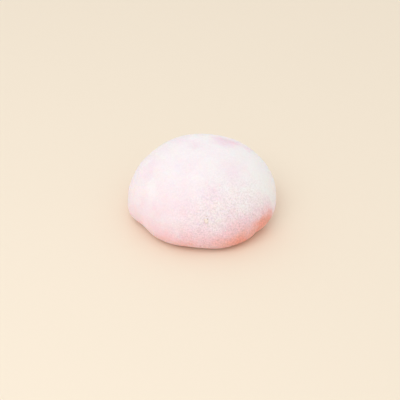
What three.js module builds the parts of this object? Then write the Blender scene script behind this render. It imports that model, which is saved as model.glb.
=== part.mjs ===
// A mochi rice cake of the daifuku kind: one skin of steamed rice dough closed round its filling and set
// down soft, so that it slumps into a low dome with a tucked-under hem and a flat foot. It is uncut, so it
// is one solid. The skin's edge was gathered underneath and pressed in, which leaves a shallow pinch in
// the middle of the foot. Millimetres, +Z up, the origin under the middle of the cake's bounding box.
import * as THREE from "three";
import { mergeVertices } from "three/addons/utils/BufferGeometryUtils.js";

// Driving sizes, in millimetres
const WAIST_RADIUS = 30.9; // half the width, at the widest level
const WAIST_HEIGHT = 7; // the widest level's height above the table
const HEIGHT = 31.4;
const FOOT_RADIUS = 23.5; // the flat that the cake's own weight has pressed
const PINCH_RADIUS = 9; // the gathered seam in the middle of the foot
const PINCH_DEPTH = 1.3;

// The pinch's folds run from its middle to its rim and turn a little on the way
const FOLD_COUNT = 5;
const FOLD_SHARE = 0.8; // how much deeper than the mean a fold gets, as a share, at the rim
const FOLD_TWIST = 0.5; // radians

// Where the soft dough swells out, or was pressed in by a hand or a neighbour. Azimuth is counter-clockwise
// from +X and lift is above the horizon, both in degrees and seen from the middle of the widest level.
// Spread is the angle at which a swell has sunk to about a third of its height, which is in millimetres.
const SWELLS = [
  { azimuth: 8, lift: 8, spread: 14, height: 0.2 },
  { azimuth: 38, lift: 30, spread: 24, height: 0.35 }, // the full right shoulder
  { azimuth: 90, lift: 45, spread: 25, height: 0.15 },
  { azimuth: 150, lift: 26, spread: 28, height: -0.4 }, // the flatter left shoulder
  { azimuth: 168, lift: 12, spread: 12, height: -0.35 },
  { azimuth: 196, lift: -8, spread: 9, height: 0.65 }, // the left corner
  { azimuth: 215, lift: -12, spread: 12, height: -1.35 }, // pressed flat at the front left
  { azimuth: 236, lift: -15, spread: 7, height: 0.3 }, // the end of that flat
  { azimuth: 262, lift: -22, spread: 16, height: -0.85 }, // drawn in at the front
  { azimuth: 290, lift: -20, spread: 20, height: 1.4 }, // the fullest part of the front
  { azimuth: 321, lift: -8, spread: 5, height: -0.7 }, // a crease beside it
  { azimuth: 331, lift: -8, spread: 9, height: 0.5 }, // and the dough beyond the crease
  { azimuth: 300, lift: 70, spread: 17, height: -0.3 }, // a thumb's dip near the crown
];

// The slow waver of dough that was rounded by hand: long shallow waves, each along its own direction
const WAVERS = [
  { length: 27, height: 0.12, along: new THREE.Vector3(1, 0.35, 0.5).normalize() },
  { length: 19, height: 0.1, along: new THREE.Vector3(-0.4, 1, 0.6).normalize() },
  { length: 14, height: 0.07, along: new THREE.Vector3(0.7, -0.8, 1).normalize() },
];

// The uneven gathers of the hem, where the dough turns under: so many waves round the cake
const GATHERS = [
  { count: 7, phase: 0.6, height: 0.16 },
  { count: 11, phase: 2.1, height: 0.12 },
  { count: 18, phase: 4.4, height: 0.06 },
];
const GATHER_LEVEL = 3; // their height above the table
const GATHER_REACH = 2.6; // how far above and below that they have sunk to a third

// Mesh steps
const SEGMENTS = 96; // round the cake
const PINCH_RINGS = 8;
const FOOT_RINGS = 3;
const HEM_RINGS = 8;
const DOME_RINGS = 25;
const WELD = 1e-4; // vertices nearer than this are one

// Half of the plain cake's section, from the middle of the foot out to its edge and up to the crown:
// x is the radius and y the height.
function section() {
  const foot = [];
  for (let i = 0; i < PINCH_RINGS; i++) {
    foot.push(new THREE.Vector2((PINCH_RADIUS * i) / PINCH_RINGS, 0));
  }
  for (let i = 0; i < FOOT_RINGS; i++) {
    const radius = THREE.MathUtils.lerp(PINCH_RADIUS, FOOT_RADIUS, i / FOOT_RINGS);
    foot.push(new THREE.Vector2(radius, 0));
  }
  const quarter = Math.PI / 2;
  const tuck = WAIST_RADIUS - FOOT_RADIUS;
  const hem = new THREE.EllipseCurve(FOOT_RADIUS, WAIST_HEIGHT, tuck, WAIST_HEIGHT, -quarter, 0);
  const rise = HEIGHT - WAIST_HEIGHT;
  const dome = new THREE.EllipseCurve(0, WAIST_HEIGHT, WAIST_RADIUS, rise, 0, quarter);
  return [...foot, ...hem.getSpacedPoints(HEM_RINGS).slice(0, -1), ...dome.getSpacedPoints(DOME_RINGS)];
}

// The plain round cake, upright, with its seam and its two poles closed
function roundCake() {
  const geometry = new THREE.LatheGeometry(section(), SEGMENTS).rotateX(Math.PI / 2);
  geometry.deleteAttribute("normal");
  geometry.deleteAttribute("uv");
  return mergeVertices(geometry, WELD);
}

// 1 at the middle of a soft bump, about a third at its reach, and soon nothing
function bell(distance, reach) {
  return Math.exp(-((distance / reach) ** 2));
}

function directionOf({ azimuth, lift }) {
  const turn = THREE.MathUtils.degToRad(azimuth);
  const rise = THREE.MathUtils.degToRad(lift);
  return new THREE.Vector3(
    Math.cos(rise) * Math.cos(turn),
    Math.cos(rise) * Math.sin(turn),
    Math.sin(rise),
  );
}

// How far the swells and presses push the dough out in a direction
function swellAlong(direction) {
  return SWELLS.reduce((sum, swell) => {
    const angle = THREE.MathUtils.radToDeg(direction.angleTo(directionOf(swell)));
    return sum + swell.height * bell(angle, swell.spread);
  }, 0);
}

function waverAt(point) {
  return WAVERS.reduce((sum, wave) => {
    const phase = (2 * Math.PI * point.dot(wave.along)) / wave.length;
    return sum + wave.height * Math.sin(phase);
  }, 0);
}

// The gathers fade above and below the hem, and inwards from the foot's edge
function gatherAt(azimuth, radius, height) {
  const wave = GATHERS.reduce((sum, g) => sum + g.height * Math.cos(g.count * azimuth + g.phase), 0);
  const inside = Math.min(1, radius / FOOT_RADIUS) ** 4;
  return wave * bell(height - GATHER_LEVEL, GATHER_REACH) * inside;
}

// How far the pinch goes up into the foot
function pinchAt(azimuth, radius) {
  const share = Math.min(1, radius / PINCH_RADIUS);
  const fold = FOLD_SHARE * share * Math.cos(FOLD_COUNT * azimuth + FOLD_TWIST * FOLD_COUNT * share);
  return PINCH_DEPTH * (1 - share ** 2) ** 2 * (1 + fold);
}

// Where a point of the plain cake lies on the hand-made one. Below the waist the push turns level, so that
// the foot stays flat.
function handMade(plain) {
  const direction = plain.clone().setZ(plain.z - WAIST_HEIGHT).normalize();
  const push = swellAlong(direction) + waverAt(plain);
  const upright = THREE.MathUtils.clamp(plain.z / WAIST_HEIGHT, 0, 1);
  const point = plain.clone().addScaledVector(direction.multiply(new THREE.Vector3(1, 1, upright)), push);

  const radius = Math.hypot(plain.x, plain.y);
  const azimuth = Math.atan2(plain.y, plain.x);
  const outwards = new THREE.Vector3(Math.cos(azimuth), Math.sin(azimuth), 0);
  point.addScaledVector(outwards, gatherAt(azimuth, radius, plain.z));
  if (plain.z < WELD) {
    point.z = pinchAt(azimuth, radius);
  }
  return point;
}

function mochi() {
  const geometry = roundCake();
  const position = geometry.getAttribute("position");
  for (let i = 0; i < position.count; i++) {
    const point = handMade(new THREE.Vector3().fromBufferAttribute(position, i));
    position.setXYZ(i, point.x, point.y, point.z);
  }
  geometry.computeVertexNormals();
  geometry.computeBoundingBox();
  const middle = geometry.boundingBox.getCenter(new THREE.Vector3());
  const flouredDough = new THREE.MeshStandardMaterial({ color: 0xf5e3e2, roughness: 0.9, metalness: 0 });
  const mesh = new THREE.Mesh(geometry, flouredDough);
  mesh.name = "mochi";
  mesh.position.set(-middle.x, -middle.y, 0);
  return mesh;
}

const cake = new THREE.Group();
cake.add(mochi());

export default cake;
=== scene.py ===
# %% [markdown]
# # A mochi rice cake under a veil of starch
#
# Mochi is glutinous rice, steamed and beaten to a smooth, stretchy dough. A cake of the daifuku kind is
# one skin of that dough, closed round a soft filling and set down on its seam, where it slumps into a low
# dome. It is rolled in fine starch, so that it doesn't stick. Three things make it read as mochi: the
# soft, slightly lopsided outline, the matt white veil, and the pink dough that shows where the veil is
# thin or rubbed off.
#
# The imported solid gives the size, the place and the outline. Everything here is built round it, in metres.

import math

import bmesh
import bpy
from mathutils import Matrix, Vector


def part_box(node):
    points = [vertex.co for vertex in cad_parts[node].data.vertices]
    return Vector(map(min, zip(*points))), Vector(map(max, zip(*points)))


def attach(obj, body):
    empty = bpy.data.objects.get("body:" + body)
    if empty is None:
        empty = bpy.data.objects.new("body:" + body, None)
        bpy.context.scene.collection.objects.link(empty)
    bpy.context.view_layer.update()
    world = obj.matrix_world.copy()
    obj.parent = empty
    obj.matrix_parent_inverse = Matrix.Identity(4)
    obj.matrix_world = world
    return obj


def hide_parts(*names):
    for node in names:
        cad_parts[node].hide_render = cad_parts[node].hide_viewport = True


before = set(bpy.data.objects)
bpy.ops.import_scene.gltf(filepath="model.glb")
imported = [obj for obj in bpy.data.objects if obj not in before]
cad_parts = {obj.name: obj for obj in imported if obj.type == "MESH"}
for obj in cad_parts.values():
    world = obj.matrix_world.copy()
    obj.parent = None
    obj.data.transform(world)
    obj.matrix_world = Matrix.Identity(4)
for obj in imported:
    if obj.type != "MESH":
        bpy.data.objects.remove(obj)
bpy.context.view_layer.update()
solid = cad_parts["mochi"]
low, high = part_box("mochi")

MM = 0.001  # one millimetre, in Blender's metres
size = high - low
print("the solid is", [round(side / MM, 1) for side in size], "mm")

# %% [markdown]
# ## Choosing what an operator works on
#
# An operator acts on all that is selected. By hand one would drag a box round some vertices. In a script
# the same thing is a test on each vertex's place, so one small helper selects by a test, and another
# clears the selection before anything new is added. A third applies a modifier as soon as it is set.

# %% Selecting by hand, in code
def clear_selection():
    """Leaves edit mode and selects nothing, so that a new primitive is all that is selected."""
    if bpy.context.object and bpy.context.object.mode != "OBJECT":
        bpy.ops.object.mode_set(mode="OBJECT")
    bpy.ops.object.select_all(action="DESELECT")


def select_where(piece, test):
    """In edit mode, selects the vertices whose place passes the test, and says how many did."""
    bpy.ops.mesh.select_mode(type="VERT")
    mesh = bmesh.from_edit_mesh(piece.data)
    for vertex in mesh.verts:
        vertex.select = test(vertex.co)
    mesh.select_flush_mode()
    bmesh.update_edit_mesh(piece.data)
    return sum(vertex.select for vertex in mesh.verts)


def apply_modifier(piece, kind, **settings):
    """Adds a modifier, sets it and applies it, as the Apply button does."""
    bpy.context.view_layer.objects.active = piece
    bpy.ops.object.modifier_add(type=kind)
    modifier = piece.modifiers[-1]
    for name, value in settings.items():
        setattr(modifier, name, value)
    bpy.ops.object.modifier_apply(modifier=modifier.name)


clear_selection()
print(len(bpy.context.selected_objects), "objects are selected")

# %% [markdown]
# ## The cake, from a cube
#
# The cake could start as a UV sphere, but that has two poles where thin triangles meet, and on a smooth
# matt dome a pole shows as a star. A cube that is cut into a grid and pushed out to a ball has square
# faces all over, of nearly one size. They take fine relief evenly, and no pole needs hiding.

# %% A ball of dough
CUTS = 31  # each side of the cube becomes 32 by 32 faces, about 1.4 mm wide on the cake

clear_selection()
bpy.ops.mesh.primitive_cube_add(size=size.x, location=(0, 0, 0))
cake = bpy.context.object
cake.name = "mochi_dough"
bpy.ops.object.mode_set(mode="EDIT")
bpy.ops.mesh.select_all(action="SELECT")
bpy.ops.mesh.subdivide(number_cuts=CUTS)
bpy.ops.transform.tosphere(value=1)
ball_radius = max(vertex.co.z for vertex in bmesh.from_edit_mesh(cake.data).verts)
print("a ball of radius", round(ball_radius / MM, 1), "mm")

# %% [markdown]
# ## Slumping the ball
#
# Fresh mochi is too soft to stay a ball. Its upper half sinks to a dome, its lower half to a shallow bowl,
# and the bottom of that bowl is pressed flat on the table. Three moves make that: squash each half by its
# own amount, lift the ball until its widest level is where it belongs, and flatten whatever is then below
# the table.

# %% Squash, lift and flatten
WAIST = 7 * MM  # the widest level's height
BOWL_DEPTH = 10.7 * MM  # how deep the lower half would go, if the table weren't there

dome = size.z - WAIST
half_sides = Vector((size.x / 2, size.y / 2, dome))
bpy.ops.transform.resize(value=half_sides / ball_radius)
lower = select_where(cake, lambda place: place.z < 0)
bpy.ops.transform.resize(value=(1, 1, BOWL_DEPTH / dome), center_override=(0, 0, 0))
bpy.ops.mesh.select_all(action="SELECT")
bpy.ops.transform.translate(value=(0, 0, WAIST))
under = select_where(cake, lambda place: place.z < 0)
bpy.ops.transform.resize(value=(1, 1, 0), center_override=(0, 0, 0))
bpy.ops.object.mode_set(mode="OBJECT")
print(lower, "vertices in the lower half,", under, "of them flat on the table")

# %% [markdown]
# ## Fitting it to the solid
#
# The dome is now a mean cake. The real one has a corner at its left, a flat where it was pressed, a fuller
# front, and a pinched seam underneath, and the solid has all of these. Shrinkwrap lays each vertex on the
# nearest point of the solid, as skin on filling. Subdivision Surface then rounds off the solid's facets
# and gives the fine mesh that the relief of the starch needs.

# %% Shrinkwrap and subdivide
apply_modifier(cake, "SHRINKWRAP", target=solid, wrap_method="NEAREST_SURFACEPOINT")
apply_modifier(cake, "SUBSURF", levels=2, render_levels=2)
print(len(cake.data.polygons), "square faces, so", 2 * len(cake.data.polygons), "triangles")

# %% [markdown]
# ## One helper for all node trees
#
# Geometry Nodes and shaders are both trees of nodes. One function adds a node, sets it, links or fills its
# inputs, and gives back one of its outputs, so that each line says what it is made from.

# %% Add a node
def add(tree, kind, inputs=(), output=0, **settings):
    """Adds a node to the tree. inputs maps a socket's name or number to a value or a node's output."""
    node = tree.nodes.new(kind)
    for name, value in settings.items():
        setattr(node, name, value)
    for socket, value in dict(inputs).items():
        if isinstance(value, bpy.types.NodeSocket):
            tree.links.new(value, node.inputs[socket])
        else:
            node.inputs[socket].default_value = value
    return node.outputs[output] if node.outputs else None


# %% [markdown]
# ## Unevenness
#
# Nearly all that is seen on the cake is noise of some size: slow swells of the dough, clouds in the
# starch, grains of powder. Noise is made from cells, and one cell is about half of a rise and fall. One
# function gives such a noise about zero, from the cell's real size and from how strong it is. Whatever has
# a place of its own, such as a fingertip's mark, is a soft ball round that place, and a second function
# gives those.

# %% Noise with a real size
NOISE_FROM, NOISE_TO = 0.25, 0.75  # the noise texture's value seldom leaves this range


def unevenness(tree, place, cell, strength, detail=2.0):
    """Noise from about -strength to strength, with cells that are so many millimetres wide."""
    noise = add(
        tree, "ShaderNodeTexNoise", {"Vector": place, "Scale": 1 / (cell * MM), "Detail": detail}
    )
    return add(
        tree, "ShaderNodeMapRange",
        {
            "Value": noise,
            "From Min": NOISE_FROM,
            "From Max": NOISE_TO,
            "To Min": -strength,
            "To Max": strength,
        },
        clamp=False,
    )


# %% A soft ball
def soft_ball(tree, place, centre, middle, edge, inside, outside=0):
    """The value inside up to the distance middle from the centre, and outside from the distance edge on.

    The centre and the distances are in millimetres.
    """
    away = add(
        tree, "ShaderNodeVectorMath", {0: place, 1: Vector(centre) * MM}, "Value", operation="DISTANCE"
    )
    return add(
        tree, "ShaderNodeMapRange",
        {
            "Value": away,
            "From Min": middle * MM,
            "From Max": edge * MM,
            "To Min": inside,
            "To Max": outside,
        },
        interpolation_type="SMOOTHSTEP",
    )


# %% [markdown]
# ## Where the starch lies
#
# The cake was rolled in a tray of starch and then handled. Starch stays thick on the shoulders, gets thin
# low on the front, where the dough is moist, and comes off in patches where a finger or the next cake
# touched. That is one quantity, the cover, from 0 for bare dough to 1 for solid white. Both the relief and
# the colour need it, so one function builds it from a place on the cake, in either kind of tree: the edge
# of a bare patch in the mesh is then also its edge in the colour.
#
# Each patch is a soft ball. The place is first shaken by noise, which turns the balls' round edges ragged,
# and clouds of thicker and thinner starch lie over all.

# %% The patches
FULL_COVER = 0.9
RIM_LOSS = 0.35  # how much less cover there is at the very bottom, where the dough is moist
RIM_HEIGHT = 16 * MM  # where that loss starts

# Each patch: its centre, how far its middle and its edge reach, and the change in cover there.
# The first two are in millimetres.
PATCHES = (
    ((-2, -33, 2), (0, 35), -0.245),  # the moist front
    ((-30, -10, 6), (5, 48), -0.06),  # thin on the left
    ((-7, -32, 1), (0, 10), -0.12),  # rubbed by the board
    ((-19, -22, 12), (3, 22), -0.11),  # thinner at the front's left
    ((26, -18, 5), (3, 12.5), -0.53),  # rubbed bare, low on the right
    ((17, -27, 5), (2, 13), -0.29),  # rubbed bare, beside it
    ((21, -21.5, 5), (4, 20), -0.23),  # thinned round both
    ((21, -23, 5.5), (1.5, 6.5), 0.29),  # the ridge between them keeps a little
    ((17, -21, 18), (0, 5), 0.09),  # more again above them
    ((8, -30.5, 8), (0, 8), -0.09),  # a moist place low on the front
    ((10.5, -27, 16), (0, 4.5), -0.1),  # and one above it
    ((9, 9.5, 29.3), (0, 8.5), -0.37),  # a fingertip behind the crown
    ((14, 11, 27.5), (0, 5.5), -0.2),  # the rest of its mark
    ((19, 11, 25), (0, 5), -0.26),
    ((4, -21.5, 24.6), (0, 7), -0.14),  # a fainter fingertip in front of it
    ((13, -10, 27.8), (0, 11.5), -0.12),  # and one on its right
    ((-4, 3, 31), (0, 6.5), -0.17),  # and one on the crown
    ((-9, 10, 30), (0, 6), -0.08),  # and one on its left
    ((24, -3, 18), (4, 20), 0.11),  # thick on the right shoulder
    ((0, 14, 29), (0, 9.5), 0.14),  # and behind the crown
    ((-22, -6, 23), (0, 9), -0.12),  # a thin place high on the left
    ((-6, -11, 29.5), (0, 7), -0.07),  # and one above the front
    ((-21, -15.5, 20), (1, 5.5), 0.12),  # a dab on the left
    ((5, -29, 15), (1, 6), 0.08),  # and one on the front
    ((-12, -28, 13), (0, 8), 0.12),  # and one between them
    ((-20, -22, 7), (0, 8), 0.08),  # and one low on the left
    ((-21, 24, 2), (1, 13), -0.38),  # where it touched the next cake, at the back
    ((-12, 29, 5), (0, 9), -0.2),
    ((29, 13, 4), (0, 11), -0.3),  # and the one on that side
    ((23, 23, 1), (0, 12), -0.2),
)
print(len(PATCHES), "patches in the starch")

# %% How much of the dough is covered
SHAKES = ((8, 3.4), (1.8, 1.3))  # each noise's cell and how far it shakes a place, in millimetres
CLOUDS = ((4.5, 0.034), (1.8, 0.028))  # each noise's cell in millimetres, and its change in cover


def shaken(tree, place):
    """The place, pushed about by noise."""
    moved = place
    for cell, reach in SHAKES:
        noise = add(
            tree, "ShaderNodeTexNoise", {"Vector": place, "Scale": 1 / (cell * MM), "Detail": 2}, "Color"
        )
        even = add(tree, "ShaderNodeVectorMath", {0: noise, 1: (0.5, 0.5, 0.5)}, operation="SUBTRACT")
        push = add(tree, "ShaderNodeVectorMath", {0: even, "Scale": 2 * reach * MM}, operation="SCALE")
        moved = add(tree, "ShaderNodeVectorMath", {0: moved, 1: push}, operation="ADD")
    return moved


def cover(tree, place):
    """The share of the dough that starch covers at a place, before the finest grain."""
    moved = shaken(tree, place)
    height = add(tree, "ShaderNodeSeparateXYZ", {0: moved}, "Z")
    total = add(
        tree, "ShaderNodeMapRange",
        {
            "Value": height,
            "From Max": RIM_HEIGHT,
            "To Min": FULL_COVER - RIM_LOSS,
            "To Max": FULL_COVER,
        },
        interpolation_type="SMOOTHSTEP",
    )
    for centre, (middle, edge), change in PATCHES:
        patch = soft_ball(tree, moved, centre, middle, edge, change)
        total = add(tree, "ShaderNodeMath", {0: total, 1: patch}, operation="ADD")
    for cell, change in CLOUDS:
        cloud = unevenness(tree, place, cell, change)
        total = add(tree, "ShaderNodeMath", {0: total, 1: cloud}, operation="ADD")
    # a share is never below 0 or above 1
    return add(tree, "ShaderNodeMath", {0: total, 1: 0}, operation="ADD", use_clamp=True)


# %% [markdown]
# ## Where the starch is coarse
#
# On the top and the left the powder was smoothed down by the palm that turned the cake. Low on the right
# front it stayed as it came out of the tray, in grains and small pits, and the light that falls along the
# skin there makes them plain. So the strength of every fine relief, and of the light and shade painted into
# the colour for the grains and pits, is one more quantity, which all the trees share.

# %% How coarse the powder is
COARSE_SPOTS = ((14, -29, 4), (-20, 26, 10))  # millimetres
COARSE_REACH = (14, 33)  # millimetres from a spot: full up to the first, and least from the second on
LEAST_COARSE = 0.15


def coarseness(tree, place):
    """How strong the powder's grain is at a place, up to 1."""
    first, second = [
        soft_ball(tree, place, spot, *COARSE_REACH, inside=1, outside=LEAST_COARSE)
        for spot in COARSE_SPOTS
    ]
    return add(tree, "ShaderNodeMath", {0: first, 1: second}, operation="MAXIMUM")


print("the powder is coarsest within", COARSE_REACH[0], "mm of", len(COARSE_SPOTS), "spots")

# %% [markdown]
# ## Pits
#
# Where a grain fell out, or a bubble of air came up, the powder has a pit. A Voronoi texture gives each
# pit a cell of its own and the distance to its middle. Each cell also has a random colour, and a draw on
# its red part leaves cells without a pit, and more of them where the powder is finer. A few larger nicks
# were made by a fingernail or a crumb, and have places of their own.

# %% Small pits all over, and a few nicks
PIT_SPACING = 1.9  # millimetres, as the radii are
PIT_RADIUS = 0.34
PIT_SHARE = 0.6  # of the cells, where the powder is coarsest
NICKS = (((-3.1, -23.8, 22.6), 0.55), ((7.2, -28.6, 15.5), 0.5), ((11, -29, 11), 0.45))  # place and radius


def pits(tree, place, coarse):
    """1 in the middle of a pit and 0 outside it."""
    away = add(
        tree, "ShaderNodeTexVoronoi", {"Vector": place, "Scale": 1 / (PIT_SPACING * MM)}, "Distance"
    )
    draw = add(tree, "ShaderNodeSeparateXYZ", {0: away.node.outputs["Color"]}, "X")
    share = add(tree, "ShaderNodeMath", {0: coarse, 1: PIT_SHARE}, operation="MULTIPLY")
    has_pit = add(tree, "ShaderNodeMath", {0: draw, 1: share}, operation="LESS_THAN")
    bowl = add(
        tree, "ShaderNodeMapRange",
        {"Value": away, "From Max": PIT_RADIUS / PIT_SPACING, "To Min": 1, "To Max": 0},
        interpolation_type="SMOOTHSTEP",
    )
    deep = add(tree, "ShaderNodeMath", {0: has_pit, 1: bowl}, operation="MULTIPLY")
    for where, radius in NICKS:
        nick = soft_ball(tree, place, where, 0, radius, inside=1)
        deep = add(tree, "ShaderNodeMath", {0: deep, 1: nick}, operation="MAXIMUM")
    return deep


print("a pit is up to", 2 * PIT_RADIUS, "mm wide")

# %% [markdown]
# ## Relief
#
# A dome of smooth dough alone looks like a plastic ball. Several kinds of unevenness make it dough: slow
# swells that hands leave, fine creases where the hem tucks under, the starch, which lies on the dough as a
# thin crust of little lumps, and the pits. Displace could do each with a texture of its own, but the
# starch has to follow its cover, so all are one Geometry Nodes tree that pushes each vertex along its
# normal. The foot stays flat, because the table pressed it.

# %% How high each kind of relief is
SWELL = (8, 0.08 * MM)  # the noise's cell in millimetres, and the height
CREASE = (2.2, 0.05 * MM)
CREASE_FADE = (2.5 * MM, 7.5 * MM)  # heights over the table between which the creases die out
CREASE_STRETCH = (1, 1, 0.3)  # noise from a place that is squashed upright runs up and down
CRUST = 0.09 * MM  # the starch's thickness where the cover is full
LUMP = (0.95, 0.13 * MM)
PIT_DEPTH = 0.16 * MM
FOOT_FADE = (0.25 * MM, 1.8 * MM)  # heights over the table between which the relief comes in
print("starch stands up to", round((CRUST + LUMP[1]) / MM, 2), "mm high on the dough")

# %% The tree, from place to cover
relief = bpy.data.node_groups.new("relief_of_dough_and_starch", "GeometryNodeTree")
relief.interface.new_socket("Cake", in_out="INPUT", socket_type="NodeSocketGeometry")
relief.interface.new_socket("Cake", in_out="OUTPUT", socket_type="NodeSocketGeometry")
place = add(relief, "GeometryNodeInputPosition")
height = add(relief, "ShaderNodeSeparateXYZ", {0: place}, "Z")
coarse = coarseness(relief, place)
starch = cover(relief, place)
print("so far the tree has", len(relief.nodes), "nodes, most of them for the patches")

# %% The dough's own swells and creases
swell = unevenness(relief, place, *SWELL)
stretched = add(relief, "ShaderNodeVectorMath", {0: place, 1: CREASE_STRETCH}, operation="MULTIPLY")
crease = unevenness(relief, stretched, *CREASE)
crease_fade = add(
    relief, "ShaderNodeMapRange",
    {"Value": height, "From Min": CREASE_FADE[0], "From Max": CREASE_FADE[1], "To Min": 1, "To Max": 0},
    interpolation_type="SMOOTHSTEP",
)
dough = add(relief, "ShaderNodeMath", {0: crease, 1: crease_fade, 2: swell}, operation="MULTIPLY_ADD")
print("the dough swells by up to", round(SWELL[1] / MM, 2), "mm")

# %% The starch on it: a lumpy crust, as thick as there is cover, with pits
lumps = unevenness(relief, place, *LUMP, detail=3)
coarse_lumps = add(relief, "ShaderNodeMath", {0: lumps, 1: coarse}, operation="MULTIPLY")
crust = add(relief, "ShaderNodeMath", {0: coarse_lumps, 1: CRUST}, operation="ADD")
powder = add(relief, "ShaderNodeMath", {0: crust, 1: starch, 2: dough}, operation="MULTIPLY_ADD")
pitted = add(
    relief, "ShaderNodeMath", {0: pits(relief, place, coarse), 1: -PIT_DEPTH, 2: powder},
    operation="MULTIPLY_ADD",
)
print("a pit is", round(PIT_DEPTH / MM, 2), "mm deep")

# %% Push the skin out and in, but not the foot
off_table = add(
    relief, "ShaderNodeMapRange",
    {"Value": height, "From Min": FOOT_FADE[0], "From Max": FOOT_FADE[1]},
    interpolation_type="SMOOTHSTEP",
)
push = add(relief, "ShaderNodeMath", {0: pitted, 1: off_table}, operation="MULTIPLY")
normal = add(relief, "GeometryNodeInputNormal")
offset = add(relief, "ShaderNodeVectorMath", {0: normal, "Scale": push}, operation="SCALE")
skin = add(relief, "NodeGroupInput", output="Cake")
pushed = add(relief, "GeometryNodeSetPosition", {"Geometry": skin, "Offset": offset})
add(relief, "NodeGroupOutput", {"Cake": pushed})

apply_modifier(cake, "NODES", node_group=relief)
bpy.ops.object.shade_smooth()
print("the cake now measures", [round(side / MM, 2) for side in cake.dimensions], "mm")

# %% [markdown]
# ## The finish: rice dough under starch
#
# Cooked rice starch is slightly see-through, so light goes some millimetres into the dough before it comes
# out again. Red goes furthest, so bare dough glows salmon, and dough under a thin veil looks a cooler
# pink. Dry starch scatters every colour alike and is as matt as chalk. One Principled shader does it all:
# the cover picks the colour on a ramp, and sets how rough and how deep-lit the surface is.
#
# A single granule of rice starch is a few thousandths of a millimetre wide, far too fine to show. What
# shows is the clots that granules cling together in, so the noise below is drawn as coarse as they need
# to be.

# %% Colours
def linear(code, alpha=1):
    """An sRGB hex colour as the linear numbers that Blender's sockets take."""
    parts = [int(code[i : i + 2], 16) / 255 for i in (1, 3, 5)]
    return [p / 12.92 if p <= 0.04045 else ((p + 0.055) / 1.055) ** 2.4 for p in parts] + [alpha]


# the share of starch cover, and the colour there
DUSTING = (
    # the bare dough's salmon is partly its own colour and partly painted warm bounce light from below, which
    # pushes it toward orange
    (0.0, linear("#F0A695")),  # bare, moist dough
    (0.2, linear("#F2BAB3")),  # nearly bare
    (0.4, linear("#F5D0D6")),  # a thin veil
    (0.7, linear("#FAE5EA")),
    (1.0, linear("#FFF8F5")),  # solid starch
)
print(len(DUSTING), "colours, from bare dough to solid starch")

# %% Which share of the dough the powder hides, clot by clot
SPECKLE = (0.26, 0.07)  # the noise's cell in millimetres, and the most that it changes the share


def speckled(tree, place):
    """The cover with its clots. They show most where the cover is half, so they go as 4 c (1 - c)."""
    even = cover(tree, place)
    bare = add(tree, "ShaderNodeMath", {0: 1, 1: even}, operation="SUBTRACT")
    half = add(tree, "ShaderNodeMath", {0: even, 1: bare}, operation="MULTIPLY")
    most = add(tree, "ShaderNodeMath", {0: half, 1: 4}, operation="MULTIPLY")
    clots = unevenness(tree, place, *SPECKLE)
    return add(
        tree, "ShaderNodeMath", {0: clots, 1: most, 2: even}, operation="MULTIPLY_ADD", use_clamp=True
    )


# %% The colour there, with light and shade painted in for the powder's grains and pits
GRAIN_PAINTED_LIGHT_AND_SHADE = (0.7, 0.18)  # the noise's cell in millimetres, and how much its painted light and shade lightens or darkens the colour
COARSE_PAINTED_SHADE = 0.03  # painted shade: how much darker coarse powder is as a whole, for the shadows between its grains
PIT_PAINTED_SHADE = 0.1  # painted shade: how much darker a pit is


def dusted_colour_with_painted_shade(tree, place, share, coarse):
    """The dusting's colour at a share of cover, with painted light and shade for its grains and painted
    shade in its pits.
    """
    dusting = add(tree, "ShaderNodeValToRGB", {"Fac": share})
    stops = dusting.node.color_ramp.elements
    for _ in DUSTING[len(stops):]:
        stops.new(0.5)
    for stop, (position, colour) in zip(stops, DUSTING):
        stop.position = position
        stop.color = colour

    grain = unevenness(tree, place, *GRAIN_PAINTED_LIGHT_AND_SHADE, detail=3)
    shade = add(tree, "ShaderNodeMath", {0: grain, 1: COARSE_PAINTED_SHADE}, operation="ADD")
    painted_shade_of_grain_and_pits = add(
        tree, "ShaderNodeMath", {0: pits(tree, place, coarse), 1: PIT_PAINTED_SHADE, 2: shade},
        operation="MULTIPLY_ADD",
    )
    # the painted light and shade, strongest where the powder is coarse
    dark = add(tree, "ShaderNodeMath", {0: painted_shade_of_grain_and_pits, 1: coarse}, operation="MULTIPLY")
    painted_brightness = add(tree, "ShaderNodeMath", {0: 1, 1: dark}, operation="SUBTRACT")
    shaded = add(tree, "ShaderNodeVectorMath", {0: dusting, "Scale": painted_brightness}, operation="SCALE")
    return add(tree, "ShaderNodeVectorMath", {0: shaded, 1: (1, 1, 1)}, operation="MINIMUM")


# %% The dusted dough's material
# From one share of cover to another, how rough the skin is, and how much of the light comes from inside
ROUGH = {"From Min": 0.1, "From Max": 0.7, "To Min": 0.5, "To Max": 0.95}
DEPTH = {"From Min": 0.1, "From Max": 0.9, "To Min": 0.9, "To Max": 0.45}
LIGHT_REACH = 3.5 * MM  # how far red light goes into the dough
RED_GREEN_BLUE_REACH = (1, 0.45, 0.3)  # how far each colour goes, as a share of that
BUMP = (0.35, 0.06 * MM)  # what is too fine for the mesh: the noise's cell in millimetres, and height
SHEEN = 0.08  # the faint cool bloom of powder that is seen edge on


def new_material(name):
    """A material with an empty node tree, and that tree."""
    material = bpy.data.materials.new(name)
    material.use_nodes = True
    material.node_tree.nodes.clear()
    return material, material.node_tree


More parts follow.
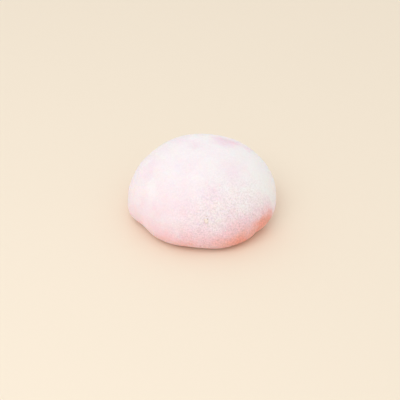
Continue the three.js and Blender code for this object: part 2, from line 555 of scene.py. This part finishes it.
def dusted_dough():
    """Steamed glutinous rice dough, tinted pink and rolled in starch: lit from inside, chalky on top."""
    material, tree = new_material("rice_dough_dusted_with_starch")
    place = add(tree, "ShaderNodeTexCoord", output="Object")
    coarse = coarseness(tree, place)
    share = speckled(tree, place)
    fine = add(
        tree, "ShaderNodeMath", {0: unevenness(tree, place, BUMP[0], 1), 1: share}, operation="MULTIPLY"
    )
    bump = add(tree, "ShaderNodeBump", {"Height": fine, "Distance": BUMP[1], "Strength": 1})
    surface = add(
        tree, "ShaderNodeBsdfPrincipled",
        {
            "Base Color": dusted_colour_with_painted_shade(tree, place, share, coarse),
            "Roughness": add(tree, "ShaderNodeMapRange", {"Value": share, **ROUGH}),
            "IOR": 1.5,
            "Subsurface Weight": add(tree, "ShaderNodeMapRange", {"Value": share, **DEPTH}),
            "Subsurface Radius": RED_GREEN_BLUE_REACH,
            "Subsurface Scale": LIGHT_REACH,
            "Specular IOR Level": 0.35,
            "Sheen Weight": SHEEN,
            "Sheen Roughness": 0.5,
            "Sheen Tint": linear("#E8E6FF"),
            "Normal": bump,
        },
        "BSDF",
    )
    add(tree, "ShaderNodeOutputMaterial", {"Surface": surface})
    return material


def add_material(piece, material):
    piece.data.materials.clear()
    piece.data.materials.append(material)
    print(piece.name, "is", material.name)


add_material(cake, dusted_dough())

# %% [markdown]
# ## Loose grains and clumps
#
# Starch cakes together in the tray, so besides the thin crust there are little lumps that stand up from
# it. They could be a bump, but a bump has no outline and casts no shadow. Here one lump of each size is
# modelled, and Geometry Nodes copies it over the cake: many fine ones, few coarse ones, and most where the
# powder is thick and coarse. Each copy gets its own turn and size, and all are then made one mesh.

# %% One lump, to be copied
LUMP_RAGGED = 0.13  # how far a vertex may be moved, as a share of the width
LUMP_SIDES = (1, 0.8, 0.6)


def lump_of(name, width, rounds, seed):
    """An uneven pebble, flatter than it is wide, with its middle at the origin so that half sinks in."""
    clear_selection()
    bpy.ops.mesh.primitive_ico_sphere_add(subdivisions=rounds, radius=width / 2, location=(0, 0, 0))
    lump = bpy.context.object
    lump.name = name
    bpy.ops.object.mode_set(mode="EDIT")
    bpy.ops.mesh.select_all(action="SELECT")
    bpy.ops.transform.vertex_random(offset=LUMP_RAGGED * width, seed=seed)
    bpy.ops.transform.resize(value=LUMP_SIDES)
    bpy.ops.object.mode_set(mode="OBJECT")
    return lump


# %% Where lumps cling
THIN_COVER = 0.25  # below this cover nothing clings
BARE_HEM = 1.2 * MM  # nor below this height, where the table rubs


def chance_of_lump(tree, place):
    """How likely a lump is at a place: most where the cover is full and coarse, and none at the hem."""
    height = add(tree, "ShaderNodeSeparateXYZ", {0: place}, "Z")
    above_hem = add(tree, "ShaderNodeMath", {0: height, 1: BARE_HEM}, operation="GREATER_THAN")
    clings = add(tree, "ShaderNodeMapRange", {"Value": cover(tree, place), "From Min": THIN_COVER})
    loose = add(tree, "ShaderNodeMath", {0: clings, 1: coarseness(tree, place)}, operation="MULTIPLY")
    return add(tree, "ShaderNodeMath", {0: above_hem, 1: loose}, operation="MULTIPLY")


# %% Copy a lump over the cake
SMALL_ONES = 2.5  # a random share to this power, so that most copies are small
LEAN = 0.3  # radians, how far a copy may lean either way


def scatter(lump, spacing, most_per_mm2, sizes, seed):
    """Turns the lump into many: copies all over the cake, no two nearer than the spacing, as one mesh."""
    tree = bpy.data.node_groups.new("scatter_" + lump.name, "GeometryNodeTree")
    tree.interface.new_socket("Lump", in_out="INPUT", socket_type="NodeSocketGeometry")
    tree.interface.new_socket("Lumps", in_out="OUTPUT", socket_type="NodeSocketGeometry")
    skin = add(tree, "GeometryNodeObjectInfo", {"Object": cake}, "Geometry")
    chance = chance_of_lump(tree, add(tree, "GeometryNodeInputPosition"))
    points = add(
        tree, "GeometryNodeDistributePointsOnFaces",
        {
            "Mesh": skin,
            "Distance Min": spacing,
            "Density Max": most_per_mm2 / MM**2,
            "Density Factor": chance,
            "Seed": seed,
        },
        distribute_method="POISSON",
    )
    draw = add(tree, "FunctionNodeRandomValue", {2: 0, 3: 1, "Seed": seed + 1}, 1, data_type="FLOAT")
    skewed = add(tree, "ShaderNodeMath", {0: draw, 1: SMALL_ONES}, operation="POWER")
    scale = add(tree, "ShaderNodeMapRange", {"Value": skewed, "To Min": sizes[0], "To Max": sizes[1]})
    turn = add(
        tree, "FunctionNodeRandomValue",
        {0: (-LEAN, -LEAN, 0), 1: (LEAN, LEAN, 2 * math.pi), "Seed": seed + 2},
        data_type="FLOAT_VECTOR",
    )
    one = add(tree, "NodeGroupInput", output="Lump")
    copies = add(
        tree, "GeometryNodeInstanceOnPoints",
        {"Points": points, "Instance": one, "Rotation": points.node.outputs["Rotation"], "Scale": scale},
    )
    turned = add(
        tree, "GeometryNodeRotateInstances", {"Instances": copies, "Rotation": turn, "Local Space": True}
    )
    real = add(tree, "GeometryNodeRealizeInstances", {"Geometry": turned})
    add(tree, "NodeGroupOutput", {"Lumps": real})
    faces_each = len(lump.data.polygons)
    apply_modifier(lump, "NODES", node_group=tree)
    bpy.ops.object.shade_smooth()
    print(lump.name, "has", len(lump.data.polygons) // faces_each, "lumps of", faces_each, "faces")


# %% Fine grains and coarse clumps
grains = lump_of("starch_grains", width=0.3 * MM, rounds=1, seed=3)
scatter(grains, spacing=0.55 * MM, most_per_mm2=1.6, sizes=(0.5, 1.5), seed=11)
clumps = lump_of("starch_clumps", width=0.42 * MM, rounds=1, seed=5)
scatter(clumps, spacing=1.7 * MM, most_per_mm2=0.24, sizes=(0.6, 1.4), seed=23)

# %% The starch's material
STARCH_MOTTLE = 2.5  # millimetres, the cell of the noise between the starch's two whites


def dry_starch():
    """Dry rice starch in lumps: white, chalky and without gloss."""
    material, tree = new_material("dry_rice_starch")
    place = add(tree, "ShaderNodeTexCoord", output="Object")
    mottle = unevenness(tree, place, STARCH_MOTTLE, 0.5, detail=3)
    factor = add(tree, "ShaderNodeMath", {0: mottle, 1: 0.5}, operation="ADD")
    colour = add(
        tree, "ShaderNodeMix", {"Factor": factor, 6: linear("#FFF3F3"), 7: DUSTING[-1][1]}, 2,
        data_type="RGBA",
    )
    surface = add(
        tree, "ShaderNodeBsdfPrincipled",
        {
            "Base Color": colour,
            "Roughness": 0.95,
            "IOR": 1.5,
            "Subsurface Weight": 0.4,
            "Subsurface Radius": (1, 0.8, 0.75),
            "Subsurface Scale": 0.5 * MM,
            "Specular IOR Level": 0.2,
        },
        "BSDF",
    )
    add(tree, "ShaderNodeOutputMaterial", {"Surface": surface})
    return material


starch_material = dry_starch()
add_material(grains, starch_material)
add_material(clumps, starch_material)

# %% [markdown]
# ## A fleck of bran
#
# Rice is polished before it is steamed, and a scrap of its brown coat sometimes stays behind. This cake
# has one on its front: a pale papery flake with two darker crumbs on it. Too small for the solid, it still
# needs geometry, because a painted dot would have no edge to catch the light. Each bit is a flattened
# pebble, laid on the skin at its place: its own up axis is turned to the skin's normal.

# %% The flake and its crumbs
FLECK_BITS = (
    # name, sides in millimetres, where it lies, and its turn about the skin's normal in degrees
    ("bran_flake", (1.6, 3.6, 0.16), (1.75, -28.7, 16.2), 4),
    ("bran_crumb", (0.42, 0.8, 0.34), (2.35, -28.7, 16.5), -10),
    ("bran_crumb_small", (0.7, 0.32, 0.28), (1.7, -28.2, 17.5), 5),
)
FIRST_BIT_SEED = 31


def lay_bit(name, sides, where, turn, seed):
    """A flattened pebble of bran, laid on the skin."""
    bit = lump_of(name, width=MM, rounds=3, seed=seed)  # a millimetre wide, so its scale is its size
    _, at, up, _ = cake.closest_point_on_mesh(Vector(where) * MM)
    bit.scale = sides
    bit.location = at
    bit.rotation_mode = "QUATERNION"
    about_normal = Matrix.Rotation(math.radians(turn), 3, "Z").to_quaternion()
    bit.rotation_quaternion = up.to_track_quat("Z", "Y") @ about_normal
    bpy.ops.object.transform_apply(location=True, rotation=True, scale=True)
    bpy.ops.object.shade_smooth()
    print(name, "lies at", [round(side / MM, 1) for side in at], "mm")
    return bit


fleck = [lay_bit(*bit, seed) for seed, bit in enumerate(FLECK_BITS, start=FIRST_BIT_SEED)]

# %% The bran's materials
BRAN_STREAK = 0.35  # millimetres, the cell of the noise between a bran's two colours


def rice_bran(name, pale, dark):
    """The papery coat of a rice grain, dulled by starch."""
    material, tree = new_material(name)
    place = add(tree, "ShaderNodeTexCoord", output="Object")
    streak = unevenness(tree, place, BRAN_STREAK, 0.5, detail=3)
    factor = add(tree, "ShaderNodeMath", {0: streak, 1: 0.5}, operation="ADD")
    colour = add(
        tree, "ShaderNodeMix", {"Factor": factor, 6: linear(pale), 7: linear(dark)}, 2, data_type="RGBA"
    )
    surface = add(
        tree, "ShaderNodeBsdfPrincipled", {"Base Color": colour, "Roughness": 0.7, "IOR": 1.5}, "BSDF"
    )
    add(tree, "ShaderNodeOutputMaterial", {"Surface": surface})
    return material


papery = rice_bran("papery_rice_bran", "#FDEFE6", "#F8E4D8")
brown = rice_bran("brown_rice_bran", "#CFBCAD", "#BCA592")
for bit, material in zip(fleck, (papery, brown, brown)):
    add_material(bit, material)

# %% [markdown]
# ## The table and the light
#
# The table is pale and slightly warm, so the light that it sends up under the hem is warm too. The room is
# one even white light, and one large soft lamp with the faint blue of daylight stands high on the left
# front, as a window would.

# %% Table
TABLE_SIDE = 8  # metres, so that its edge is out of sight
TABLE_GAP = 0.02 * MM  # between the table and the foot, so that the two don't flicker through each other

clear_selection()
bpy.ops.mesh.primitive_plane_add(size=TABLE_SIDE, location=(0, 0, -TABLE_GAP))
table = bpy.context.object
table.name = "table"
paint, tree = new_material("matt_paint_on_a_table")
surface = add(
    tree, "ShaderNodeBsdfPrincipled", {"Base Color": linear("#F4E6D0"), "Roughness": 0.7}, "BSDF"
)
add(tree, "ShaderNodeOutputMaterial", {"Surface": surface})
add_material(table, paint)

# %% Room light
ROOM_LIGHT = 0.86

world = bpy.data.worlds.new("pale_room")
bpy.context.scene.world = world
world.use_nodes = True
world.node_tree.nodes.clear()
room = add(world.node_tree, "ShaderNodeBackground", {"Color": linear("#FFFFFF"), "Strength": ROOM_LIGHT})
add(world.node_tree, "ShaderNodeOutputWorld", {"Surface": room})
print("the room's light has strength", ROOM_LIGHT)

# %% Window lamp
LAMP_AT = Vector((-190, -280, 490)) * MM
LAMP_SIDE = 400 * MM
LAMP_POWER = 0.86  # watts
DAYLIGHT = linear("#F6F7FF")[:3]

clear_selection()
towards_cake = LAMP_AT.to_track_quat("Z", "Y").to_euler()
bpy.ops.object.light_add(type="AREA", location=LAMP_AT, rotation=towards_cake)
lamp = bpy.context.object
lamp.data.size = LAMP_SIDE
lamp.data.energy = LAMP_POWER
lamp.data.color = DAYLIGHT
print("the lamp stands", round(LAMP_AT.length / MM), "mm from the cake")

# %% [markdown]
# ## The camera
#
# A cake on a table is looked at from above, more than half a metre away. A long lens from there keeps the
# round of the dome true. The lens is turned down by its pitch and then rolled by a degree about its own
# line of sight, as a camera held in the hand is.

# %% Camera
CAMERA_AT = Vector((-0.85, -496.2, 354.9)) * MM
PITCH = math.radians(35.15)  # how far it looks down
ROLL = math.radians(0.985)
FOCAL_LENGTH = 130.5  # millimetres, as both of a camera's own sizes are
SENSOR_WIDTH = 36

tilt = Matrix.Rotation(math.pi / 2 - PITCH, 3, "X") @ Matrix.Rotation(ROLL, 3, "Z")
clear_selection()
bpy.ops.object.camera_add(location=CAMERA_AT, rotation=tilt.to_euler())
camera = bpy.context.object
camera.data.sensor_width = SENSOR_WIDTH
camera.data.lens = FOCAL_LENGTH
bpy.context.scene.camera = camera
bpy.context.scene.view_settings.view_transform = "Standard"
print("the camera stands", round(CAMERA_AT.length / MM), "mm from the cake")

# %% [markdown]
# ## Tying it to the frame
#
# The cake holds together as one body, so all its pieces ride on the root. The dusted dough stands for the
# plain solid, which is then hidden.

# %% Ride and replace
for piece in (cake, grains, clumps, *fleck):
    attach(piece, "root")
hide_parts("mochi")
